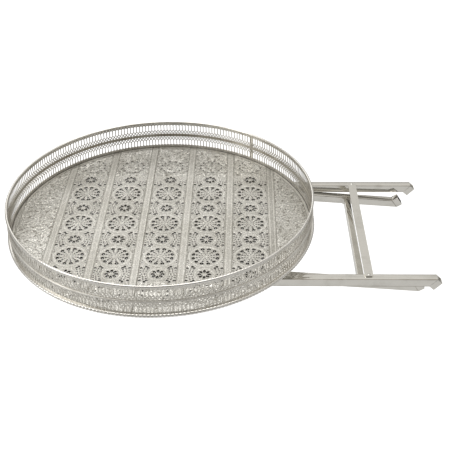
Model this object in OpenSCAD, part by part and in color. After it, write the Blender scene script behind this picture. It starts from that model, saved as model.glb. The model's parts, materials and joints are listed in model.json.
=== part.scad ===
// Folding tray table: a round tray with a two-tier pierced gallery, on a stand of two
// crossed frames of square tube. The stand is shown folded flat under the tray.
// Millimetres, +Z up. The origin is the middle of the tray floor's top face, and +X points
// towards the feet of the folded stand.

/* [Tray] */
// Outside diameter over the rolled rim
tray_d = 600; // [480:10:720]
// Height of the rim's top over the tray floor
wall_h = 65; // [50:1:90]
// Thickness of the floor sheet
floor_t = 1.2; // [0.8:0.1:3]
// Thickness of the gallery sheet
gallery_t = 1; // [0.6:0.1:2]
// Diameter of the rolled rim
rim_d = 5.2; // [4:0.1:8]
// Height of the half-round rail between the two tiers
rail_h = 4.4; // [3:0.1:8]
// Height of the rail's middle over the tray floor, as a share of the wall
rail_place = 0.47; // [0.35:0.01:0.65]
// Height of the half-round ring round the foot of the wall
foot_h = 6; // [4:0.5:10]
// How far the foot ring stands out from the wall
foot_out = 5.4; // [4:0.1:8]
// How far the foot ring reaches below the tray floor's top face
foot_drop = 2; // [1.5:0.1:4]
// Width of the strap that closes the gallery's seam
seam_w = 8; // [5:0.5:14]
// Thickness of the seam strap
seam_t = 1.2; // [0.8:0.1:2]
// Bearing of the seam, counter-clockwise from +X
seam_bearing = 53; // [0:1:359]

/* [Stand] */
// Outside width over the two outer legs
stand_w = 344; // [280:2:380]
// Side of the square tube
tube_w = 16; // [12:0.5:20]
// Wall of the square tube
tube_t = 1.6; // [1:0.1:2.5]
// Side gap between an outer leg and the inner leg beside it
leg_gap = 2.5; // [2:0.1:5]
// Gap from the tray floor's top face down to the top of the outer legs
under_gap = 17.3; // [16:0.1:30]
// Distance of the hinge from the tray's middle
hinge_x = 60; // [40:1:90]
// Distance of the scissor pivot from the tray's middle, folded
pivot_x = 155; // [140:1:180]
// Distance of the outer legs' cut ends from the tray's middle, folded
outer_reach = 513; // [440:1:600]
// Distance of the inner legs' cut ends from the tray's middle, folded
inner_reach = 487; // [420:1:580]
// Angle that the inner legs hang below the outer ones, folded
inner_droop = 4.5; // [3:0.1:6]
// Angle of the outer legs to the floor, opened
stance = 48; // [42:1:52]
// Length of a toe's square ferrule
toe_len = 13; // [8:0.5:24]

/* [Cross members] */
// Distance of the outer crossbar's middle from the tray's middle, folded
outer_bar_x = 395; // [340:1:440]
// Width of the outer crossbar
outer_bar_w = 16; // [12:0.5:24]
// Thickness of the outer crossbar
outer_bar_t = 2.5; // [2:0.1:5]
// How far the outer crossbar laps over each outer leg
outer_bar_lap = 8; // [6:0.5:11]
// Distance of the inner crossbar's middle from the tray's middle, folded
inner_bar_x = 384; // [330:1:430]
// Width of the inner crossbar
inner_bar_w = 12; // [8:0.5:16]
// Radius of the gusset in each inner crossbar corner
gusset_r = 10; // [4:0.5:16]
// Diameter of the top rod that seats under the tray
rod_d = 8; // [6:0.5:10]

/* [Under the tray] */
// Width of the two battens
batten_w = 30; // [26:1:44]
// Thickness of the two battens
batten_t = 4; // [3:0.1:4.5]
// Half length of the hinge batten
hinge_batten_half = 150; // [142:1:160]
// Half length of the catch batten
catch_batten_half = 115; // [95:1:120]
// Thickness of a hinge bracket's ear
ear_t = 3; // [2:0.1:4]
// Thickness of a hinge bracket's flange
flange_t = 2.5; // [1.5:0.1:3]
// Length of a hinge bracket's flange across the tray
flange_len = 24; // [18:1:32]
// Distance of each catch clip's middle from the stand's middle plane
clip_y = 60; // [45:1:70]
// Length of a catch clip along the rod
clip_len = 20; // [12:1:30]
// Wall of a catch clip
clip_t = 1.8; // [1.2:0.1:2]

/* [Pins and rivets] */
// Diameter of the hinge and pivot pins
pin_d = 6; // [4:0.5:8]
// Radial running clearance of a pin
run_clear = 0.05; // [0.02:0.01:0.1]
// End play between a turning leg and what is beside it
side_play = 0.2; // [0.1:0.05:0.3]
// Diameter of a rivet's shank
rivet_d = 3; // [2:0.1:4]
// Clearance of the top rod in its clips
clip_clear = 0.4; // [0.3:0.05:0.6]
// Clearance of the outer legs' ends under the tray, opened
end_clear = 2.2; // [1:0.1:4]

/* [Hidden] */
$fn = 96;

SHEET = [0.80, 0.79, 0.75];
TUBE = [0.76, 0.75, 0.71];
IRON = [0.55, 0.54, 0.51];

// Wall of the tray
gallery_r = tray_d / 2 - rim_d / 2;         // middle of the gallery sheet
gallery_in = gallery_r - gallery_t / 2;
gallery_out = gallery_r + gallery_t / 2;
rail_z = wall_h * rail_place;
rim_z = wall_h - rim_d / 2;
foot_r = foot_h / 2;

// The stand's places across the tray
half_tube = tube_w / 2;
outer_y = stand_w / 2 - half_tube;          // middle of an outer leg
inner_y = outer_y - tube_w - leg_gap;       // middle of an inner leg
outer_face = outer_y - half_tube;           // inner side of an outer leg
inner_out = inner_y + half_tube;
inner_face = inner_y - half_tube;           // inner side of an inner leg

// The linkage. The inner frame hangs on the hinge, and the outer frame turns on the pivot.
pivot_z = -under_gap - half_tube;
inner_upper = (pivot_x - hinge_x) / cos(inner_droop);
hinge_z = pivot_z + inner_upper * sin(inner_droop);
outer_lower = outer_reach - pivot_x;
inner_lower = (inner_reach - pivot_x) / cos(inner_droop);
inner_stance = asin(sin(stance) * outer_lower / inner_lower);
batten_z = -floor_t - batten_t;             // underside of the battens
clip_in = rod_d / 2 + clip_clear;
clip_out = clip_in + clip_t;
seat_z = min(-floor_t - half_tube - end_clear, batten_z - clip_out);    // top rod, seated
outer_upper = (seat_z - hinge_z + inner_upper * sin(inner_stance)) / sin(stance);
seat_x = hinge_x - inner_upper * cos(inner_stance) - outer_upper * cos(stance);
outer_turn = 90 - stance;                   // a toe is square to its leg's cut end
inner_turn = inner_stance - 90;

// Fasteners
pin_r = pin_d / 2;
pin_head_r = pin_r + 2;
pin_head_t = 1.3;
rivet_r = rivet_d / 2;
rivet_head_r = rivet_r + 1.5;
rivet_head_t = 1.2;
washer_r = pin_r + 3.5;
flange_rivet_y = inner_face - side_play - ear_t - flange_len / 2;
outer_rivet_y = min(85, flange_rivet_y - flange_len / 2 - 15);    // clear of the brackets
batten_rivet_ys = [-outer_rivet_y, -20, 20, outer_rivet_y];
flange_rivet_x = batten_w / 2 - 6;
clip_foot_x = clip_out + 5;                 // clip rivets, either side of the seat
clip_foot_w = 11;
crossbar_rivet_y = outer_face + outer_bar_lap / 2;
cut = 4 * tube_w;                           // long enough to cut right through a tube

// ---- helpers ----

// A ring about the tray's axis from a profile drawn at its true radius
module ring() {
    rotate_extrude() children();
}

// A cylinder along Y from y0 to y1
module rod_y(r, y0, y1) {
    translate([0, max(y0, y1), 0]) rotate([90, 0, 0]) cylinder(r = r, h = abs(y1 - y0));
}

// A domed head standing on z = 0 and pointing up
module dome(r, t) {
    ball = (r * r + t * t) / (2 * t);
    intersection() {
        translate([0, 0, t - ball]) sphere(r = ball);
        cylinder(r = r, h = t);
    }
}

// Mirrors a far piece to the near side
module near() {
    mirror([0, 1, 0]) children();
}

// The outer frame's own axes: x runs down the legs from the pivot
module outer_frame() {
    translate([pivot_x, 0, pivot_z]) children();
}

// The inner frame's own axes: x runs down the legs from the pivot
module inner_frame() {
    translate([pivot_x, 0, pivot_z]) rotate([0, inner_droop, 0]) children();
}

// A square tube leg about y = 0: a round eye at -upper, a slanted cut at +lower, bores at each
module leg(upper, lower, turn, eye_r, pivot_r) {
    lead = half_tube * tan(abs(turn));      // how far the cut leans along the leg
    hollow_from = -upper + tube_w;
    hollow_to = lower - lead - tube_t;
    difference() {
        union() {
            translate([-upper, 0, 0]) rod_y(half_tube, -half_tube, half_tube);
            translate([-upper, -half_tube, -half_tube]) cube([upper + lower + lead, tube_w, tube_w]);
        }
        translate([lower, 0, 0]) rotate([0, turn, 0])
            translate([0, -cut / 2, -cut / 2]) cube([cut, cut, cut]);
        translate([hollow_from, tube_t - half_tube, tube_t - half_tube])
            cube([hollow_to - hollow_from, tube_w - 2 * tube_t, tube_w - 2 * tube_t]);
        translate([-upper, 0, 0]) rod_y(eye_r, -tube_w, tube_w);
        rod_y(pivot_r, -tube_w, tube_w);
    }
}

// A hollow ferrule square to the leg's cut end, open at its sole
module toe(lower, turn) {
    depth = tube_w / cos(turn);
    translate([lower, 0, 0]) rotate([0, turn, 0]) difference() {
        translate([0, -half_tube, -depth / 2]) cube([toe_len, tube_w, depth]);
        translate([tube_t, tube_t - half_tube, tube_t - depth / 2])
            cube([toe_len, tube_w - 2 * tube_t, depth - 2 * tube_t]);
    }
}

// A pin from y0 to y1 with a domed head past each end
module pin(y0, y1) {
    rod_y(pin_r, y0, y1);
    translate([0, y1, 0]) rotate([-90, 0, 0]) dome(pin_head_r, pin_head_t);
    translate([0, y0, 0]) rotate([90, 0, 0]) dome(pin_head_r, pin_head_t);
}

// A rivet down from z = top to its domed head under z = under
module rivet(top, under) {
    translate([0, 0, under]) cylinder(r = rivet_r, h = top - under);
    translate([0, 0, under]) mirror([0, 0, 1]) dome(rivet_head_r, rivet_head_t);
}

module rivet_hole(top, under) {
    translate([0, 0, under]) cylinder(r = rivet_r, h = top - under);
}

// Where the battens are riveted to the tray floor
module at_batten_rivets(x) {
    for (y = batten_rivet_ys) translate([x, y, 0]) children();
}

module at_bracket_rivets() {
    for (side = [-1, 1], dx = [-flange_rivet_x, flange_rivet_x])
        translate([hinge_x + dx, side * flange_rivet_y, 0]) children();
}

module at_clip_rivets() {
    for (side = [-1, 1], dx = [-clip_foot_x, clip_foot_x])
        translate([seat_x + dx, side * clip_y, 0]) children();
}

// ---- tray ----

module tray_floor() {
    color(SHEET) difference() {
        translate([0, 0, -floor_t]) cylinder(r = gallery_in, h = floor_t);
        at_batten_rivets(hinge_x) rivet_hole(1, -floor_t - 1);
        at_batten_rivets(seat_x) rivet_hole(1, -floor_t - 1);
    }
}

module gallery_band(z0, z1) {
    ring() translate([gallery_in, z0]) square([gallery_t, z1 - z0]);
}

module gallery_lower_band() {
    color(SHEET) gallery_band(-floor_t, rail_z - rail_h / 2);
}

module gallery_upper_band() {
    color(SHEET) gallery_band(rail_z + rail_h / 2, rim_z);
}

module mid_rail() {
    color(SHEET) ring() {
        translate([gallery_in, rail_z - rail_h / 2]) square([gallery_t, rail_h]);
        intersection() {
            translate([gallery_out, rail_z]) circle(d = rail_h);
            translate([gallery_out, rail_z - rail_h / 2]) square([rail_h, rail_h]);
        }
    }
}

module top_rim() {
    color(SHEET) ring() difference() {
        translate([gallery_r, rim_z]) circle(d = rim_d);
        translate([gallery_in, rim_z - rim_d]) square([gallery_t, rim_d]);
    }
}

module foot_ring() {
    color(SHEET) ring() {
        translate([gallery_out, -foot_drop]) square([foot_out - foot_r, foot_h]);
        translate([gallery_out + foot_out - foot_r, foot_r - foot_drop]) intersection() {
            circle(r = foot_r);
            translate([0, -foot_r]) square([foot_r, foot_h]);
        }
    }
}

module seam_strap() {
    span = seam_w / gallery_out * 180 / PI;
    tiers = [
        [foot_h - foot_drop, rail_z - rail_h / 2],
        [rail_z + rail_h / 2, rim_z - rim_d / 2]
    ];
    color(SHEET) rotate([0, 0, seam_bearing - span / 2])
        for (tier = tiers) rotate_extrude(angle = span)
            translate([gallery_out, tier[0]]) square([seam_t, tier[1] - tier[0]]);
}

// ---- under the tray ----

module hinge_batten() {
    color(IRON) difference() {
        translate([hinge_x - batten_w / 2, -hinge_batten_half, batten_z])
            cube([batten_w, 2 * hinge_batten_half, batten_t]);
        at_batten_rivets(hinge_x) rivet_hole(0, batten_z - 1);
        at_bracket_rivets() rivet_hole(0, batten_z - 1);
    }
}

module catch_batten() {
    color(IRON) difference() {
        translate([seat_x - batten_w / 2, -catch_batten_half, batten_z])
            cube([batten_w, 2 * catch_batten_half, batten_t]);
        at_batten_rivets(seat_x) rivet_hole(0, batten_z - 1);
        at_clip_rivets() rivet_hole(0, batten_z - 1);
    }
}

module hinge_bracket_far() {
    ear_out = inner_face - side_play;
    ear_in = ear_out - ear_t;
    color(IRON) difference() {
        union() {
            translate([hinge_x, 0, hinge_z]) rod_y(half_tube, ear_in, ear_out);
            translate([hinge_x - half_tube, ear_in, hinge_z])
                cube([tube_w, ear_t, batten_z - hinge_z]);
            translate([hinge_x - batten_w / 2, ear_in - flange_len, batten_z - flange_t])
                cube([batten_w, flange_len + ear_t, flange_t]);
        }
        translate([hinge_x, 0, hinge_z]) rod_y(pin_r, ear_in - 1, ear_out + 1);
        at_bracket_rivets() rivet_hole(batten_z + 1, batten_z - flange_t - 1);
    }
}

module hinge_bracket_near() {
    near() hinge_bracket_far();
}

module hinge_pin_far() {
    color(IRON) translate([hinge_x, 0, hinge_z])
        pin(inner_face - side_play - ear_t, inner_out + side_play);
}

module hinge_pin_near() {
    near() hinge_pin_far();
}

// A square-shouldered seat: the rod rises into it and stops against the lip on its far side
module catch_clip_far() {
    shoulder_z = seat_z + clip_in;
    lip_z = seat_z - clip_in / 3;
    color(IRON) translate([seat_x, clip_y, 0]) difference() {
        union() {
            translate([-clip_out, -clip_len / 2, shoulder_z])
                cube([2 * clip_out, clip_len, batten_z - shoulder_z]);
            translate([-clip_out, -clip_len / 2, lip_z])
                cube([clip_t, clip_len, batten_z - lip_z]);
            translate([-clip_foot_x - clip_foot_w / 2, -clip_len / 2, batten_z - clip_t])
                cube([2 * clip_foot_x + clip_foot_w, clip_len, clip_t]);
        }
        for (side = [-1, 1]) translate([side * clip_foot_x, 0, 0])
            rivet_hole(batten_z + 1, batten_z - clip_t - 1);
    }
}

module catch_clip_near() {
    near() catch_clip_far();
}

module batten_rivets() {
    color(IRON) {
        at_batten_rivets(hinge_x) rivet(0, batten_z);
        at_batten_rivets(seat_x) rivet(0, batten_z);
    }
}

module bracket_rivets() {
    color(IRON) at_bracket_rivets() rivet(-floor_t, batten_z - flange_t);
}

module clip_rivets() {
    color(IRON) at_clip_rivets() rivet(-floor_t, batten_z - clip_t);
}

// ---- inner frame ----

module inner_leg_far() {
    color(TUBE) inner_frame() translate([0, inner_y, 0])
        leg(inner_upper, inner_lower, inner_turn, pin_r + run_clear, pin_r + run_clear);
}

module inner_leg_near() {
    near() inner_leg_far();
}

module inner_toe_far() {
    color(TUBE) inner_frame() translate([0, inner_y, 0]) toe(inner_lower, inner_turn);
}

module inner_toe_near() {
    near() inner_toe_far();
}

// One corner's web with a quarter-round gusset edge, towards the tray
module gusset() {
    difference() {
        translate([-gusset_r, -gusset_r, -inner_bar_w / 2]) cube([gusset_r, gusset_r, inner_bar_w]);
        translate([-gusset_r, -gusset_r, -inner_bar_w]) cylinder(r = gusset_r, h = 2 * inner_bar_w);
    }
}

module inner_crossbar() {
    bar_x = (inner_bar_x - pivot_x) / cos(inner_droop);
    color(TUBE) inner_frame() translate([bar_x, 0, 0]) {
        translate([-inner_bar_w / 2, -inner_face, -inner_bar_w / 2])
            cube([inner_bar_w, 2 * inner_face, inner_bar_w]);
        translate([-inner_bar_w / 2, inner_face, 0]) gusset();
        near() translate([-inner_bar_w / 2, inner_face, 0]) gusset();
    }
}

// ---- outer frame ----

module outer_leg_far() {
    color(TUBE) difference() {
        outer_frame() translate([0, outer_y, 0])
            leg(outer_upper, outer_lower, outer_turn, rod_d / 2, pin_r);
        translate([outer_bar_x, crossbar_rivet_y, pivot_z])
            rivet_hole(tube_w, half_tube - tube_t - 1);
    }
}

module outer_leg_near() {
    near() outer_leg_far();
}

module outer_toe_far() {
    color(TUBE) outer_frame() translate([0, outer_y, 0]) toe(outer_lower, outer_turn);
}

module outer_toe_near() {
    near() outer_toe_far();
}

module outer_crossbar() {
    half = outer_face + outer_bar_lap;
    corner = outer_bar_w / 4;
    color(TUBE) translate([outer_bar_x, 0, pivot_z + half_tube]) difference() {
        union() {
            translate([-outer_bar_w / 2, corner - half, 0])
                cube([outer_bar_w, 2 * (half - corner), outer_bar_t]);
            translate([corner - outer_bar_w / 2, -half, 0])
                cube([outer_bar_w - 2 * corner, 2 * half, outer_bar_t]);
            for (sx = [-1, 1], sy = [-1, 1])
                translate([sx * (outer_bar_w / 2 - corner), sy * (half - corner), 0])
                    cylinder(r = corner, h = outer_bar_t);
        }
        for (side = [-1, 1]) translate([0, side * crossbar_rivet_y, 0])
            rivet_hole(outer_bar_t + 1, -1);
    }
}

module outer_crossbar_rivets() {
    color(TUBE) for (side = [-1, 1])
        translate([outer_bar_x, side * crossbar_rivet_y, pivot_z + half_tube]) {
            translate([0, 0, -tube_t]) cylinder(r = rivet_r, h = outer_bar_t + tube_t);
            translate([0, 0, outer_bar_t]) dome(rivet_head_r, rivet_head_t);
        }
}

module outer_top_rod() {
    color(TUBE) outer_frame() translate([-outer_upper, 0, 0])
        rod_y(rod_d / 2, -stand_w / 2, stand_w / 2);
}

module pivot_pin_far() {
    color(IRON) outer_frame() pin(inner_face - side_play, stand_w / 2);
}

module pivot_pin_near() {
    near() pivot_pin_far();
}

module pivot_washer_far() {
    color(IRON) outer_frame() difference() {
        rod_y(washer_r, inner_out + side_play, outer_face);
        rod_y(pin_r, inner_out - 1, outer_face + 1);
    }
}

module pivot_washer_near() {
    near() pivot_washer_far();
}

tray_floor();
gallery_lower_band();
gallery_upper_band();
mid_rail();
top_rim();
foot_ring();
seam_strap();
hinge_batten();
catch_batten();
hinge_bracket_near();
hinge_bracket_far();
hinge_pin_near();
hinge_pin_far();
catch_clip_near();
catch_clip_far();
batten_rivets();
bracket_rivets();
clip_rivets();
inner_leg_near();
inner_leg_far();
inner_crossbar();
inner_toe_near();
inner_toe_far();
outer_leg_near();
outer_leg_far();
outer_crossbar();
outer_crossbar_rivets();
outer_top_rod();
outer_toe_near();
outer_toe_far();
pivot_pin_near();
pivot_pin_far();
pivot_washer_near();
pivot_washer_far();
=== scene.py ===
"""Looks of a folding tray table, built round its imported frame.

The tray is a disc of pierced and chased sheet inside a two-tier pierced gallery, closed by a
milled rim, a half-round rail and a beaded foot ring. The stand is two crossed frames of
polished square tube, folded flat under the tray. The table's lengths are millimetres, and
become metres as each mesh is made. The studio's are metres.
"""

from __future__ import annotations

import json
import logging
import math
from dataclasses import dataclass, field, replace
from enum import Enum
from typing import Any, Iterable, Sequence, Union

import bmesh
import bpy
from mathutils import Matrix, Vector

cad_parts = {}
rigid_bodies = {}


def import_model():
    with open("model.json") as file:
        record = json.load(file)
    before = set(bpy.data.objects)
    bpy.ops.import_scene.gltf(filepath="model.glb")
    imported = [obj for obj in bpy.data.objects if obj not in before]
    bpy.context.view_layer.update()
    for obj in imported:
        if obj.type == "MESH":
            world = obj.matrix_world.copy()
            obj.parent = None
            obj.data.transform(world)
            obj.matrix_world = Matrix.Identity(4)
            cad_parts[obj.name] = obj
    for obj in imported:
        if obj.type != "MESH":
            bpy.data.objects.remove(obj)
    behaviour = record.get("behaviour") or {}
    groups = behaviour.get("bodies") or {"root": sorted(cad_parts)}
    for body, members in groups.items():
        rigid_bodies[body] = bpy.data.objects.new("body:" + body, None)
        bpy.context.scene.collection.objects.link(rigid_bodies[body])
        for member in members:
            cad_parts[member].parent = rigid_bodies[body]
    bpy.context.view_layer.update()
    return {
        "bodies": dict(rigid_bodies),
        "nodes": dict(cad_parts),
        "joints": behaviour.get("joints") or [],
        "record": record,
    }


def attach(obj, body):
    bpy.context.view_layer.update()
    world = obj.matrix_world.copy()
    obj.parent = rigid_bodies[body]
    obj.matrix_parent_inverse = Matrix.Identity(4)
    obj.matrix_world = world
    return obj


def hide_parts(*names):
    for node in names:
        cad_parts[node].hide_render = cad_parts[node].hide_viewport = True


LOG = logging.getLogger("tray_table")
Point = tuple[float, float]
Colour = tuple[float, float, float]
MM = 0.001
FULL_TURN = 2 * math.pi
WALL_IN = 296.9  # inner radius of the gallery's sheets, where the floor ends
WALL_OUT = 297.9
CELLS = 272  # round the tray: cells of a tier, scallops of the rim, beads of the foot ring
HINGE: Point = (60.0, -17.823)  # axes along Y, as (x, z)
PIVOT: Point = (155.0, -25.3)
ROD: Point = (43.917, -25.3)
ENDS = ("near", "far")


# ---------------------------------------------------------------- shader bench


class Wire:
    """A number socket of a shader that takes part in Python arithmetic."""

    def __init__(self, bench: "Bench", socket: bpy.types.NodeSocket) -> None:
        """Keep the bench that owns the nodes and the socket that carries the number.

        Args:
            bench: The bench that the expression's nodes are added to.
            socket: The output socket.
        """
        self.bench = bench
        self.socket = socket

    def _math(self, operation: str, *values: "Number") -> "Wire":
        """Add one Math node.

        Args:
            operation: The node's operation.
            values: Its inputs, in order.

        Returns:
            The node's output.
        """
        node = self.bench.node(
            "ShaderNodeMath", {"operation": operation}, dict(enumerate(values))
        )
        return Wire(self.bench, node.outputs[0])

    def __add__(self, other: "Number") -> "Wire":
        """Sum."""
        return self._math("ADD", self, other)

    __radd__ = __add__

    def __sub__(self, other: "Number") -> "Wire":
        """Difference."""
        return self._math("SUBTRACT", self, other)

    def __rsub__(self, other: "Number") -> "Wire":
        """Difference, from a number."""
        return self._math("SUBTRACT", other, self)

    def __mul__(self, other: "Number") -> "Wire":
        """Product."""
        return self._math("MULTIPLY", self, other)

    __rmul__ = __mul__

    def __truediv__(self, other: "Number") -> "Wire":
        """Quotient."""
        return self._math("DIVIDE", self, other)

    def __rtruediv__(self, other: "Number") -> "Wire":
        """Quotient, of a number."""
        return self._math("DIVIDE", other, self)

    def __abs__(self) -> "Wire":
        """Size without sign."""
        return self._math("ABSOLUTE", self)

    def __lt__(self, other: "Number") -> "Wire":
        """One where this is the smaller."""
        return self._math("LESS_THAN", self, other)

    def __gt__(self, other: "Number") -> "Wire":
        """One where this is the larger."""
        return self._math("GREATER_THAN", self, other)

    def root(self) -> "Wire":
        """Square root."""
        return self._math("SQRT", self)

    def fract(self) -> "Wire":
        """What is left over a whole number."""
        return self._math("FRACT", self)

    def most(self, other: "Number") -> "Wire":
        """The larger of two."""
        return self._math("MAXIMUM", self, other)

    def least(self, other: "Number") -> "Wire":
        """The smaller of two."""
        return self._math("MINIMUM", self, other)

    def bearing(self, x: "Wire") -> "Wire":
        """Angle of the point (x, this), in radians."""
        return self._math("ARCTAN2", self, x)

    def folded(self, pitch: float, middle: float) -> "Wire":
        """Signed distance to the nearest of a row of middles.

        Args:
            pitch: The row's spacing.
            middle: Where one of the middles is.

        Returns:
            A number from -pitch / 2 to pitch / 2.
        """
        return (((self - middle) / pitch + 0.5).fract() - 0.5) * pitch

    def ease(self, low: float, high: float, out: Point = (0.0, 1.0)) -> "Wire":
        """A smooth step.

        Args:
            low: Where the step starts.
            high: Where it ends.
            out: The values before and after.

        Returns:
            The stepped number.
        """
        node = self.bench.node(
            "ShaderNodeMapRange",
            {"interpolation_type": "SMOOTHSTEP", "clamp": True},
            {"Value": self, "From Min": low, "From Max": high, "To Min": out[0], "To Max": out[1]},
        )
        return Wire(self.bench, node.outputs[0])

    def line(self, at: float, width: float) -> "Wire":
        """One on a thin line where this number equals ``at``, and zero off it."""
        return abs(self - at).ease(width * 0.35, width * 0.65, (1.0, 0.0))

    def inside(self, low: float, high: float, soft: float) -> "Wire":
        """One between two values, with soft ends."""
        return self.ease(low - soft, low + soft) * self.ease(high - soft, high + soft, (1.0, 0.0))


Number = Union[Wire, float, int]


class Bench:
    """Makes one material, or one world, out of nodes."""

    def __init__(self, name: str, shelf: str = "materials") -> None:
        """Start with no nodes but the coordinates.

        Args:
            name: The material's or world's name.
            shelf: "materials" or "worlds", where it is kept.
        """
        self.owner = getattr(bpy.data, shelf).new(name)
        self.owner.use_nodes = True
        self.tree = self.owner.node_tree
        self.tree.nodes.clear()
        self.places = self.node("ShaderNodeTexCoord").outputs
        self.coordinates = self.places["Object"]

    def seen(self) -> Wire:
        """One for a ray straight from the camera, and zero for any other."""
        return Wire(self, self.node("ShaderNodeLightPath").outputs["Is Camera Ray"])

    def node(
        self,
        kind: str,
        settings: dict[str, Any] | None = None,
        inputs: dict[str | int, Any] | None = None,
    ) -> bpy.types.Node:
        """Add one node.

        Args:
            kind: The node's type.
            settings: Its own settings, or ``stops`` for a colour ramp.
            inputs: A value, a socket or a wire for each input named or numbered.

        Returns:
            The node.
        """
        node = self.tree.nodes.new(kind)
        for name, value in (settings or {}).items():
            if name == "stops":
                elements = node.color_ramp.elements
                while len(elements) < len(value):
                    elements.new(0.5)
                for element, (place, colour) in zip(elements, value):
                    element.position = place
                    element.color = (*colour, 1.0)
            else:
                setattr(node, name, value)
        for name, value in (inputs or {}).items():
            socket = node.inputs[name]
            if isinstance(value, Wire):
                value = value.socket
            if isinstance(value, bpy.types.NodeSocket):
                self.tree.links.new(value, socket)
            elif isinstance(value, tuple) and len(value) == 3 and socket.type == "RGBA":
                socket.default_value = (*value, 1.0)
            else:
                socket.default_value = value
        return node

    def axes(self) -> tuple[Wire, Wire, Wire]:
        """Split the place on the piece.

        Returns:
            Its x, y and z in millimetres.
        """
        split = self.node("ShaderNodeSeparateXYZ", None, {0: self.coordinates})
        x, y, z = (Wire(self, socket) / MM for socket in split.outputs)
        return x, y, z

    def noise(
        self, size: float, detail: float = 2.0, stretch: Sequence[float] = (1.0, 1.0, 1.0)
    ) -> Wire:
        """Soft noise.

        Args:
            size: The size of a patch, in millimetres.
            detail: The octaves under it.
            stretch: How much longer a patch is along each axis.

        Returns:
            A number round 0.5.
        """
        mapping = self.node(
            "ShaderNodeMapping",
            None,
            {"Vector": self.coordinates, "Scale": tuple(1 / s for s in stretch)},
        )
        node = self.node(
            "ShaderNodeTexNoise",
            {"noise_dimensions": "3D"},
            {"Vector": mapping.outputs[0], "Scale": 1 / (size * MM), "Detail": detail},
        )
        return Wire(self, node.outputs[0])

    def cells(self, size: float, feature: str = "F1", jitter: float = 1.0) -> Wire:
        """Cellular pattern.

        Args:
            size: The size of a cell, in millimetres.
            feature: The distance that is measured.
            jitter: How uneven the cells are.

        Returns:
            The distance, as a share of a cell.
        """
        node = self.node(
            "ShaderNodeTexVoronoi",
            {"voronoi_dimensions": "3D", "feature": feature},
            {"Vector": self.coordinates, "Scale": 1 / (size * MM), "Randomness": jitter},
        )
        return Wire(self, node.outputs["Distance"])

    def blend(self, factor: Number, first: Any, second: Any) -> bpy.types.NodeSocket:
        """Mix two colours.

        Args:
            factor: The share of the second.
            first: A colour or a colour socket.
            second: A colour or a colour socket.

        Returns:
            The mixed colour.
        """
        mix = self.node(
            "ShaderNodeMix", {"data_type": "RGBA"}, {0: factor, 6: first, 7: second}
        )
        return mix.outputs[2]

    def metal(
        self, colour: Any, roughness: Number, height: Wire, depth: float, coat: float = 0.0
    ) -> bpy.types.Material:
        """Finish the material as a metal with a relief.

        Args:
            colour: The base colour or its socket.
            roughness: The roughness, varied over the surface.
            height: The relief, from 0 to 1.
            depth: The relief's full height, in millimetres.
            coat: The weight of a clear coat.

        Returns:
            The material.
        """
        bump = self.node(
            "ShaderNodeBump", None, {"Strength": 1.0, "Distance": depth * MM, "Height": height}
        )
        shader = self.node(
            "ShaderNodeBsdfPrincipled",
            None,
            {
                "Base Color": colour,
                "Metallic": 1.0,
                "Roughness": roughness,
                "Normal": bump.outputs[0],
                "Coat Weight": coat,
            },
        )
        self.node("ShaderNodeOutputMaterial", None, {"Surface": shader.outputs[0]})
        return self.owner


# ---------------------------------------------------------------- finishes


@dataclass(frozen=True)
class PlateFinish:
    """Nickel plate over sheet, tarnished in patches, with hairline scratches and painted shade
    inside a radius.

    ``patch`` is the size of the tarnished patches, ``grain`` and ``scratch`` what they and the
    scratches add to the roughness, and ``shade_within`` the radius inside which painted shade
    darkens the plate.
    """

    name: str
    bright: Colour
    dull: Colour
    roughness: float
    scratch: float
    grain: float
    patch: float = 60.0
    shade_within: float = 0.0

    def made(self) -> bpy.types.Material:
        """Lay the nodes.

        Returns:
            The material.
        """
        bench = Bench(self.name)
        x, y, _ = bench.axes()
        reach = (x * x + y * y).root()
        # painted shade: inside shade_within, on the rail's inner face, the plate is drawn towards
        # its dull colour
        within = reach.ease(self.shade_within - 0.1, self.shade_within + 0.4, (1.0, 0.0))
        patches = bench.noise(self.patch, 4.0).ease(0.35, 0.7)
        fine = bench.noise(1.3, 3.0)
        hair_x = bench.noise(0.6, 2.0, (60.0, 1.0, 1.0))
        hair_y = bench.noise(0.7, 2.0, (1.0, 60.0, 1.0))
        hairs = hair_x.most(hair_y).ease(0.6, 0.72)
        spots = bench.cells(3.1).ease(0.05, 0.16, (1.0, 0.0)) * patches
        colour = bench.blend(
            (patches * 0.45 + spots * 0.5 + fine.ease(0.45, 0.75) * 0.2 + within * 0.45).least(1.0),
            self.bright,
            self.dull,
        )
        roughness = self.roughness + patches * self.grain + hairs * self.scratch + fine * 0.03
        height = fine * 0.35 + hairs * -0.5 + patches * 0.4
        return bench.metal(colour, roughness, height, 0.012)


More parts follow.
